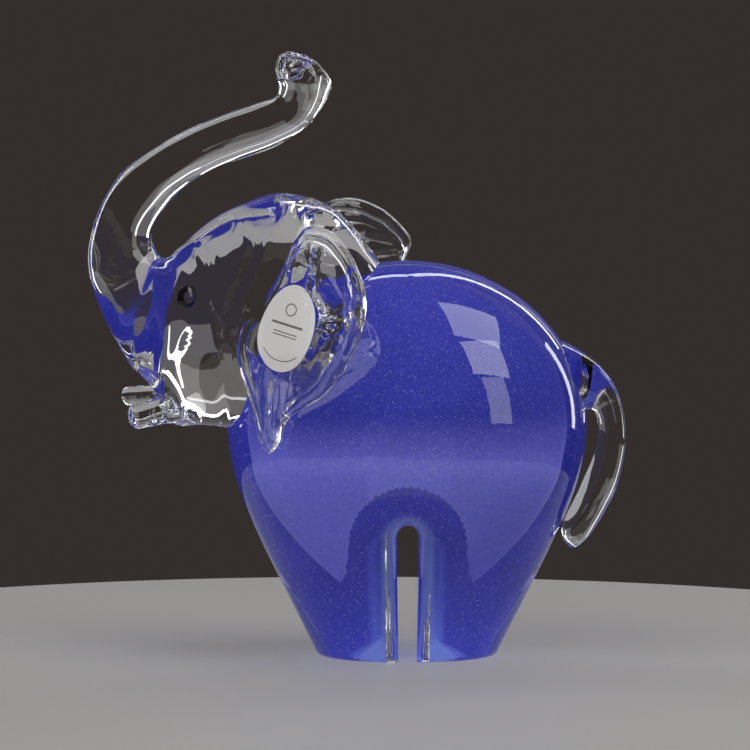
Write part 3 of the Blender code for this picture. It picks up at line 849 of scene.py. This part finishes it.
def paper():
    """Off-white coated paper with fine fibres and a plain grey print."""
    made, nodes, links = new_material("label_paper")
    shader = nodes["Principled BSDF"]
    shader.inputs["Roughness"].default_value = 0.42

    def maths(operation, a, b, c=None):
        node = nodes.new("ShaderNodeMath")
        node.operation = operation
        for socket, value in zip(node.inputs, (a, b, c)):
            if isinstance(value, (int, float)):
                socket.default_value = value
            elif value is not None:
                links.new(value, socket)
        return node.outputs[0]

    sheet = nodes.new("ShaderNodeUVMap")
    sheet.uv_map = "sheet"
    split = nodes.new("ShaderNodeSeparateXYZ")
    links.new(sheet.outputs["UV"], split.inputs[0])
    x, y = split.outputs["X"], split.outputs["Y"]

    def near(value, middle, half):
        return maths("COMPARE", value, middle, half)

    def circle(cx, cy):
        dx, dy = maths("SUBTRACT", x, cx), maths("SUBTRACT", y, cy)
        return maths("SQRT", maths("ADD", maths("MULTIPLY", dx, dx), maths("MULTIPLY", dy, dy)), 0)

    marks = [near(circle(0, 5.4), 1.5, 0.16)]
    for height, thick, half in ((1.5, 0.3, 4.7), (-0.6, 0.14, 3.6), (-1.4, 0.14, 3.6)):
        marks.append(maths("MULTIPLY", near(y, height, thick), near(x, 0, half)))
    marks.append(maths("MULTIPLY", near(circle(0, -0.6), 7.2, 0.13), maths("LESS_THAN", y, -5.6)))
    printed = marks[0]
    for mark in marks[1:]:
        printed = maths("MAXIMUM", printed, mark)
    fibres = nodes.new("ShaderNodeTexNoise")
    fibres.inputs["Scale"].default_value = 2.2
    fibres.inputs["Detail"].default_value = 8.0
    links.new(sheet.outputs["UV"], fibres.inputs["Vector"])
    stock = nodes.new("ShaderNodeValToRGB")
    stock.color_ramp.elements[0].color = (0.7, 0.69, 0.68, 1)
    stock.color_ramp.elements[1].color = (0.82, 0.82, 0.81, 1)
    links.new(fibres.outputs["Fac"], stock.inputs["Fac"])
    colour = nodes.new("ShaderNodeMix")
    colour.data_type = "RGBA"
    colour.inputs["B"].default_value = (0.16, 0.16, 0.17, 1)
    links.new(printed, colour.inputs["Factor"])
    links.new(stock.outputs["Color"], colour.inputs["A"])
    links.new(colour.outputs["Result"], shader.inputs["Base Color"])
    bump = nodes.new("ShaderNodeBump")
    bump.inputs["Strength"].default_value = 0.15
    bump.inputs["Distance"].default_value = 0.00005
    links.new(fibres.outputs["Fac"], bump.inputs["Height"])
    links.new(bump.outputs["Normal"], shader.inputs["Normal"])
    return made


def sticker():
    """A flattened ball, bent to the ear's face."""
    bm = glass_ball(24)
    sheet = bm.loops.layers.uv.new("sheet")
    _, _, middle, yaw, turn_by, hand, curl, bowl = ears["left_ear"]
    place = ear_frame(middle, yaw, turn_by, hand)
    lean = math.radians(-14)
    flat = {}
    for v in bm.verts:
        spread = 1 / max(math.hypot(v.co.x, v.co.y), 1e-6) * math.sin(math.pi / 2 * min(1, math.hypot(v.co.x, v.co.y)))
        flat[v] = (7.9 * v.co.x * spread * (1 - 0.1 * v.co.y), 11.2 * v.co.y * spread + 0.6)
        v.co.z = 0.12 * math.tanh(5 * v.co.z)
    for face in bm.faces:
        for loop in face.loops:
            loop[sheet].uv = flat[loop.vert]
    for v in bm.verts:
        x, y = flat[v]
        u = -3.8 + x * math.cos(lean) - y * math.sin(lean)
        up = x * math.sin(lean) + y * math.cos(lean)
        v.co = place @ Vector((u, up, web_front + 0.5 + v.co.z + ear_bend(u, up, curl, bowl)))
    return shaped("ear_sticker", bm, paper())


label = sticker()
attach(label, "root")
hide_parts("ear_label")

# ---------------------------------------------------------------- table and studio
# A pale round table stands in a dim room. Two narrow strips stand behind it on either side, a tall softbox
# hangs over its right, and a broad one is at its front left.


def stage_finish(name, colour, roughness):
    made, nodes, links = new_material(name)
    nodes["Principled BSDF"].inputs["Base Color"].default_value = (*colour, 1)
    nodes["Principled BSDF"].inputs["Roughness"].default_value = roughness
    return made


bm = bmesh.new()
bmesh.ops.create_circle(bm, cap_ends=True, segments=128, radius=205)
table = shaped("table", bm, stage_finish("pale_table", (0.4, 0.393, 0.385), 0.5))

world = bpy.data.worlds.new("room")
bpy.context.scene.world = world
world.use_nodes = True
world.node_tree.nodes["Background"].inputs["Color"].default_value = (0.034, 0.028, 0.025, 1)


def softbox(name, low, high, width, brightness):
    """A softbox whose middle line runs from low to high. It faces the object, and is as bright as it looks."""
    low, high = Vector(low), Vector(high)
    middle = (low + high) / 2
    facing = (middle - Vector((0.0, 0.0, 0.08))).normalized()
    across = (high - low).cross(facing).normalized()
    lamp = bpy.data.lights.new(name, "AREA")
    lamp.shape = "RECTANGLE"
    lamp.size, lamp.size_y = width, (high - low).length
    lamp.energy = math.pi * lamp.size * lamp.size_y * brightness
    holder = bpy.data.objects.new(name, lamp)
    turned_to = Matrix((across, facing.cross(across), facing)).transposed().to_4x4()
    holder.matrix_world = Matrix.Translation(middle) @ turned_to
    holder.visible_camera = False
    bpy.context.scene.collection.objects.link(holder)
    return holder


softbox("left_strip", (-0.95, 0.55, 0.0), (-0.75, 0.7, 0.85), 0.12, 6.0)
softbox("right_strip", (0.95, 0.55, 0.0), (0.9, 0.62, 0.6), 0.12, 6.0)
softbox("back_arc_right", (0.7, 0.88, 0.42), (0.04, 0.62, 1.02), 0.08, 5.0)
softbox("back_arc_left", (-0.6, 0.62, 0.95), (0.04, 0.62, 1.02), 0.08, 5.0)
softbox("left_line", (-0.5, 0.92, 0.02), (-0.42, 0.95, 0.62), 0.05, 1.2)
softbox("right_line", (0.55, 0.9, 0.05), (0.48, 0.93, 0.55), 0.05, 1.2)
softbox("upper_line", (-0.4, 0.9, 0.66), (0.4, 0.9, 0.66), 0.04, 0.5)
softbox("left_wall", (-1.05, 1.35, -0.1), (-1.05, 1.35, 1.8), 1.6, 0.09)
softbox("right_wall", (1.05, 1.35, -0.1), (1.05, 1.35, 1.8), 1.6, 0.09)
softbox("upper_wall", (-0.9, 1.25, 0.85), (0.9, 1.25, 0.85), 1.0, 0.09)
softbox("window", (0.82, -0.62, 0.62), (0.66, -0.38, 0.98), 0.45, 3.8)
softbox("window_head", (0.66, -0.38, 0.98), (0.48, 0.12, 1.12), 0.5, 3.4)
softbox("window_foot", (0.86, -0.7, 0.1), (0.82, -0.64, 0.6), 0.26, 2.4)
softbox("fill", (-0.8, -1.0, 0.02), (-0.62, -0.8, 1.5), 1.9, 1.7).visible_glossy = False

lens = bpy.data.cameras.new("camera")
camera = bpy.data.objects.new("camera", lens)
bpy.context.scene.collection.objects.link(camera)
bpy.context.scene.camera = camera
distance, view_width = 0.9, 0.1965
lens.sensor_width = 36
lens.lens = 36 * distance / view_width
lens.clip_start = 0.05
camera.location = (0.0046, -distance, 0.11)
camera.rotation_mode = "QUATERNION"
aim = Vector((0.0046, 0, 0.0735))
camera.rotation_quaternion = (aim - camera.location).to_track_quat("-Z", "Y")

scene = bpy.context.scene
scene.view_settings.view_transform = "Standard"
scene.cycles.max_bounces = 32
scene.cycles.transmission_bounces = 32
scene.cycles.transparent_max_bounces = 64
scene.cycles.glossy_bounces = 12
scene.cycles.caustics_reflective = False
scene.cycles.caustics_refractive = False
